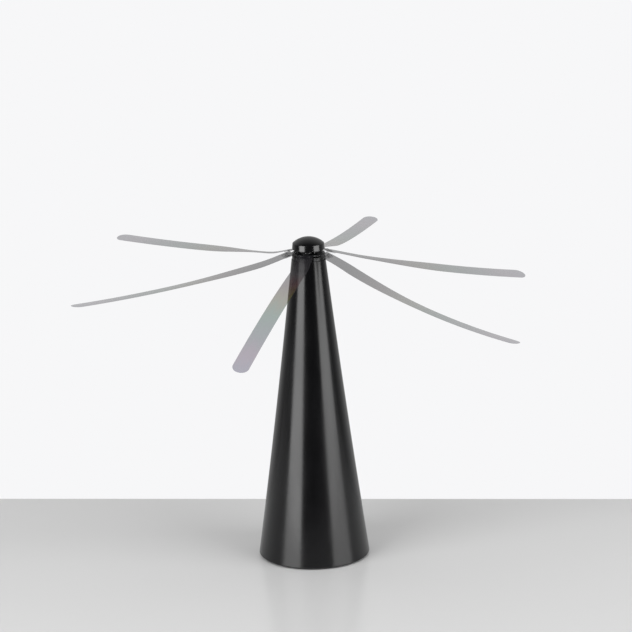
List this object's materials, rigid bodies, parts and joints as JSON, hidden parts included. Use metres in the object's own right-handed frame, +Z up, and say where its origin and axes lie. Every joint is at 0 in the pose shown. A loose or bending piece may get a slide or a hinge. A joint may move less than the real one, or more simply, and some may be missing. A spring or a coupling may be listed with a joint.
{
  "type": "fly repellent table fan",
  "caption": "Flared cone stand with a motor in its neck that spins soft hinged film blades from a domed hub to keep flies off food.",
  "frame": {"origin": "centre of the base on the surface that the rubber feet stand on", "axes": "+Z up along the rotor's axis, -Y is the side with the switch underneath"},
  "size_m": [0.3627, 0.3779, 0.2642],
  "materials": {
    "cone_plastic": "satin moulded plastic",
    "rotor_plastic": "semi-gloss moulded plastic",
    "inner_plastic": "fine spark-eroded texture",
    "zinc_steel": "zinc-plated steel",
    "spring_steel": "nickel-plated steel",
    "foot_rubber": "matt rubber",
    "cell_wrap": "printed cell wrap with steel ends",
    "white_plastic": "natural nylon",
    "brass": "bare brass",
    "copper": "bare copper",
    "ferrite": "sintered ferrite",
    "laminations": "stacked electrical steel",
    "red_wire": "PVC insulation",
    "black_wire": "PVC insulation",
    "root_plastic": "smoky clear moulded plastic",
    "blade_film": "thin smoky film with a faint rainbow sheen"
  },
  "bodies": {
    "stand": {"cone_shell": "cone_plastic", "neck_cap": "cone_plastic", "base_plate": "inner_plastic", "base_screws": "zinc_steel", "rubber_feet": "foot_rubber", "battery_box": "inner_plastic", "battery_1": "cell_wrap", "battery_2": "cell_wrap", "contact_positive": "spring_steel", "contact_negative": "spring_steel", "spring_upper": "spring_steel", "switch_body": "spring_steel", "switch_pins": "spring_steel", "motor_cradle": "inner_plastic", "cradle_screws": "zinc_steel", "motor_can": "spring_steel", "motor_end_cap": "white_plastic", "motor_terminals": "brass", "motor_magnets": "ferrite", "motor_brushes": "copper", "wire_red": "red_wire", "wire_black": "black_wire", "wire_switch": "red_wire"},
    "battery_door": {"battery_door": "inner_plastic", "door_bridge": "spring_steel", "spring_lower": "spring_steel"},
    "switch": {"switch_slider": "white_plastic"},
    "rotor": {"motor_shaft": "zinc_steel", "armature_core": "laminations", "armature_windings": "copper", "commutator": "copper", "rotor_hub": "rotor_plastic", "dome_cap": "rotor_plastic", "blade_pins": "zinc_steel"},
    "blade_1": {"blade_root_1": "root_plastic", "blade_film_1": "blade_film"},
    "blade_2": {"blade_root_2": "root_plastic", "blade_film_2": "blade_film"},
    "blade_3": {"blade_root_3": "root_plastic", "blade_film_3": "blade_film"},
    "blade_4": {"blade_root_4": "root_plastic", "blade_film_4": "blade_film"},
    "blade_5": {"blade_root_5": "root_plastic", "blade_film_5": "blade_film"},
    "blade_6": {"blade_root_6": "root_plastic", "blade_film_6": "blade_film"}
  },
  "joints": [
    {"name": "rotor_spin", "type": "hinge", "parent": "stand", "child": "rotor", "pos_m": [0, 0, 0.25325], "axis": [0, 0, 1], "continuous": true},
    {"name": "switch_slide", "type": "slide", "parent": "stand", "child": "switch", "axis": [1, 0, 0], "range_m": [0, 0.002]},
    {"name": "door_release", "type": "slide", "parent": "stand", "child": "battery_door", "axis": [0, 0, -1], "range_m": [0, 0.02]},
    {"name": "blade_1_flap", "type": "hinge", "parent": "rotor", "child": "blade_1", "pos_m": [0.00883, 0.00321, 0.25325], "axis": [0.342, -0.9397, 0], "range_deg": [0, 26]},
    {"name": "blade_2_flap", "type": "hinge", "parent": "rotor", "child": "blade_2", "pos_m": [0.00163, 0.00926, 0.25325], "axis": [0.9848, -0.1736, 0], "range_deg": [0, 26]},
    {"name": "blade_3_flap", "type": "hinge", "parent": "rotor", "child": "blade_3", "pos_m": [-0.0072, 0.00604, 0.25325], "axis": [0.6428, 0.766, 0], "range_deg": [0, 26]},
    {"name": "blade_4_flap", "type": "hinge", "parent": "rotor", "child": "blade_4", "pos_m": [-0.00883, -0.00321, 0.25325], "axis": [-0.342, 0.9397, 0], "range_deg": [0, 26]},
    {"name": "blade_5_flap", "type": "hinge", "parent": "rotor", "child": "blade_5", "pos_m": [-0.00163, -0.00926, 0.25325], "axis": [-0.9848, 0.1736, 0], "range_deg": [0, 26]},
    {"name": "blade_6_flap", "type": "hinge", "parent": "rotor", "child": "blade_6", "pos_m": [0.0072, -0.00604, 0.25325], "axis": [-0.6428, -0.766, 0], "range_deg": [0, 26]}
  ]
}
